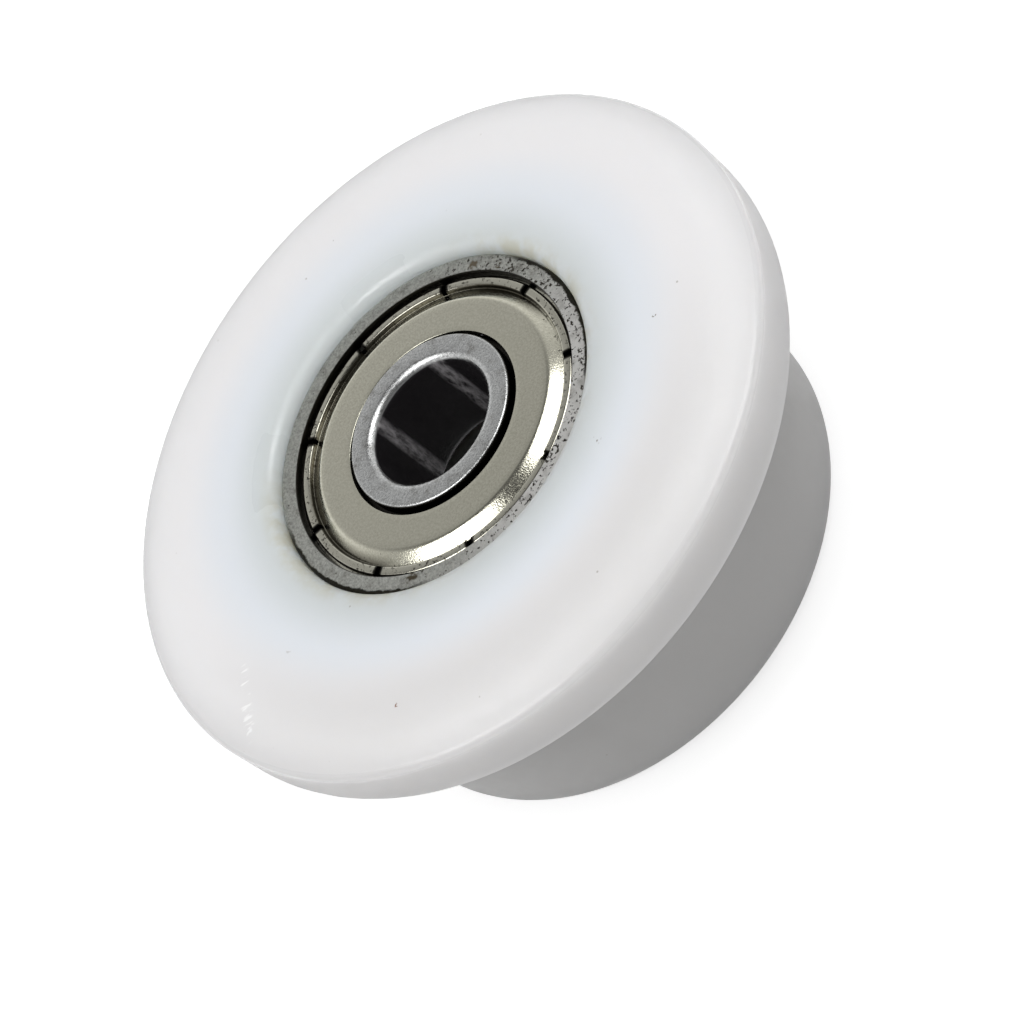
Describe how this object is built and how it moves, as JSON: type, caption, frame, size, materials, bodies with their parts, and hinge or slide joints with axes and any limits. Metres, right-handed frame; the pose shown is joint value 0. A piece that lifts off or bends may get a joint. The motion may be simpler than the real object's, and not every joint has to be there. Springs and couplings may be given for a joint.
{
  "type": "rowing machine pulley",
  "caption": "White moulded flanged pulley roller with a narrower plain tread, running on shielded ball bearings pressed into both ends, for a through axle.",
  "frame": {"origin": "centre of the rear end face, on the axle line", "axes": "+Z along the axle line, from the rear end towards the flange"},
  "size_m": [0.044, 0.044, 0.0184],
  "materials": {
    "body_plastic": "moulded white engineering plastic, satin",
    "ring_steel": "ground bearing steel",
    "shield_steel": "pressed plated steel sheet, satin",
    "ball_steel": "polished bearing steel",
    "cage_steel": "pressed steel strip"
  },
  "bodies": {
    "roller": {"pulley_body": "body_plastic", "front_outer_ring": "ring_steel", "front_outside_shield": "shield_steel", "front_inside_shield": "shield_steel", "rear_outer_ring": "ring_steel", "rear_outside_shield": "shield_steel", "rear_inside_shield": "shield_steel"},
    "front_inner": {"front_inner_ring": "ring_steel"},
    "front_cage": {"front_cage_outside_half": "cage_steel", "front_cage_inside_half": "cage_steel", "front_cage_rivets": "cage_steel"},
    "front_ball_1": {"front_ball_1": "ball_steel"},
    "front_ball_2": {"front_ball_2": "ball_steel"},
    "front_ball_3": {"front_ball_3": "ball_steel"},
    "front_ball_4": {"front_ball_4": "ball_steel"},
    "front_ball_5": {"front_ball_5": "ball_steel"},
    "front_ball_6": {"front_ball_6": "ball_steel"},
    "front_ball_7": {"front_ball_7": "ball_steel"},
    "rear_inner": {"rear_inner_ring": "ring_steel"},
    "rear_cage": {"rear_cage_outside_half": "cage_steel", "rear_cage_inside_half": "cage_steel", "rear_cage_rivets": "cage_steel"},
    "rear_ball_1": {"rear_ball_1": "ball_steel"},
    "rear_ball_2": {"rear_ball_2": "ball_steel"},
    "rear_ball_3": {"rear_ball_3": "ball_steel"},
    "rear_ball_4": {"rear_ball_4": "ball_steel"},
    "rear_ball_5": {"rear_ball_5": "ball_steel"},
    "rear_ball_6": {"rear_ball_6": "ball_steel"},
    "rear_ball_7": {"rear_ball_7": "ball_steel"}
  },
  "joints": [
    {"name": "front_axle_turn", "type": "hinge", "parent": "roller", "child": "front_inner", "pos_m": [0, 0, 0.01415], "axis": [0, 0, 1], "continuous": true},
    {"name": "front_cage_turn", "type": "hinge", "parent": "roller", "child": "front_cage", "pos_m": [0, 0, 0.01415], "axis": [0, 0, 1], "continuous": true},
    {"name": "front_ball_1_roll", "type": "hinge", "parent": "front_cage", "child": "front_ball_1", "pos_m": [0.0075, 0, 0.01415], "axis": [0, 0, 1], "continuous": true},
    {"name": "front_ball_2_roll", "type": "hinge", "parent": "front_cage", "child": "front_ball_2", "pos_m": [0.00468, 0.00586, 0.01415], "axis": [0, 0, 1], "continuous": true},
    {"name": "front_ball_3_roll", "type": "hinge", "parent": "front_cage", "child": "front_ball_3", "pos_m": [-0.00167, 0.00731, 0.01415], "axis": [0, 0, 1], "continuous": true},
    {"name": "front_ball_4_roll", "type": "hinge", "parent": "front_cage", "child": "front_ball_4", "pos_m": [-0.00676, 0.00325, 0.01415], "axis": [0, 0, 1], "continuous": true},
    {"name": "front_ball_5_roll", "type": "hinge", "parent": "front_cage", "child": "front_ball_5", "pos_m": [-0.00676, -0.00325, 0.01415], "axis": [0, 0, 1], "continuous": true},
    {"name": "front_ball_6_roll", "type": "hinge", "parent": "front_cage", "child": "front_ball_6", "pos_m": [-0.00167, -0.00731, 0.01415], "axis": [0, 0, 1], "continuous": true},
    {"name": "front_ball_7_roll", "type": "hinge", "parent": "front_cage", "child": "front_ball_7", "pos_m": [0.00468, -0.00586, 0.01415], "axis": [0, 0, 1], "continuous": true},
    {"name": "rear_axle_turn", "type": "hinge", "parent": "roller", "child": "rear_inner", "pos_m": [0, 0, 0.00425], "axis": [0, 0, 1], "continuous": true},
    {"name": "rear_cage_turn", "type": "hinge", "parent": "roller", "child": "rear_cage", "pos_m": [0, 0, 0.00425], "axis": [0, 0, 1], "continuous": true},
    {"name": "rear_ball_1_roll", "type": "hinge", "parent": "rear_cage", "child": "rear_ball_1", "pos_m": [0.0075, 0, 0.00425], "axis": [0, 0, 1], "continuous": true},
    {"name": "rear_ball_2_roll", "type": "hinge", "parent": "rear_cage", "child": "rear_ball_2", "pos_m": [0.00468, -0.00586, 0.00425], "axis": [0, 0, 1], "continuous": true},
    {"name": "rear_ball_3_roll", "type": "hinge", "parent": "rear_cage", "child": "rear_ball_3", "pos_m": [-0.00167, -0.00731, 0.00425], "axis": [0, 0, 1], "continuous": true},
    {"name": "rear_ball_4_roll", "type": "hinge", "parent": "rear_cage", "child": "rear_ball_4", "pos_m": [-0.00676, -0.00325, 0.00425], "axis": [0, 0, 1], "continuous": true},
    {"name": "rear_ball_5_roll", "type": "hinge", "parent": "rear_cage", "child": "rear_ball_5", "pos_m": [-0.00676, 0.00325, 0.00425], "axis": [0, 0, 1], "continuous": true},
    {"name": "rear_ball_6_roll", "type": "hinge", "parent": "rear_cage", "child": "rear_ball_6", "pos_m": [-0.00167, 0.00731, 0.00425], "axis": [0, 0, 1], "continuous": true},
    {"name": "rear_ball_7_roll", "type": "hinge", "parent": "rear_cage", "child": "rear_ball_7", "pos_m": [0.00468, 0.00586, 0.00425], "axis": [0, 0, 1], "continuous": true}
  ],
  "couplings": [
    {"joint": "front_cage_turn", "follows": "front_axle_turn", "ratio": 0.3677},
    {"joint": "front_ball_1_roll", "follows": "front_axle_turn", "ratio": -1.7573},
    {"joint": "front_ball_2_roll", "follows": "front_axle_turn", "ratio": -1.7573},
    {"joint": "front_ball_3_roll", "follows": "front_axle_turn", "ratio": -1.7573},
    {"joint": "front_ball_4_roll", "follows": "front_axle_turn", "ratio": -1.7573},
    {"joint": "front_ball_5_roll", "follows": "front_axle_turn", "ratio": -1.7573},
    {"joint": "front_ball_6_roll", "follows": "front_axle_turn", "ratio": -1.7573},
    {"joint": "front_ball_7_roll", "follows": "front_axle_turn", "ratio": -1.7573},
    {"joint": "rear_cage_turn", "follows": "rear_axle_turn", "ratio": 0.3677},
    {"joint": "rear_ball_1_roll", "follows": "rear_axle_turn", "ratio": -1.7573},
    {"joint": "rear_ball_2_roll", "follows": "rear_axle_turn", "ratio": -1.7573},
    {"joint": "rear_ball_3_roll", "follows": "rear_axle_turn", "ratio": -1.7573},
    {"joint": "rear_ball_4_roll", "follows": "rear_axle_turn", "ratio": -1.7573},
    {"joint": "rear_ball_5_roll", "follows": "rear_axle_turn", "ratio": -1.7573},
    {"joint": "rear_ball_6_roll", "follows": "rear_axle_turn", "ratio": -1.7573},
    {"joint": "rear_ball_7_roll", "follows": "rear_axle_turn", "ratio": -1.7573}
  ]
}
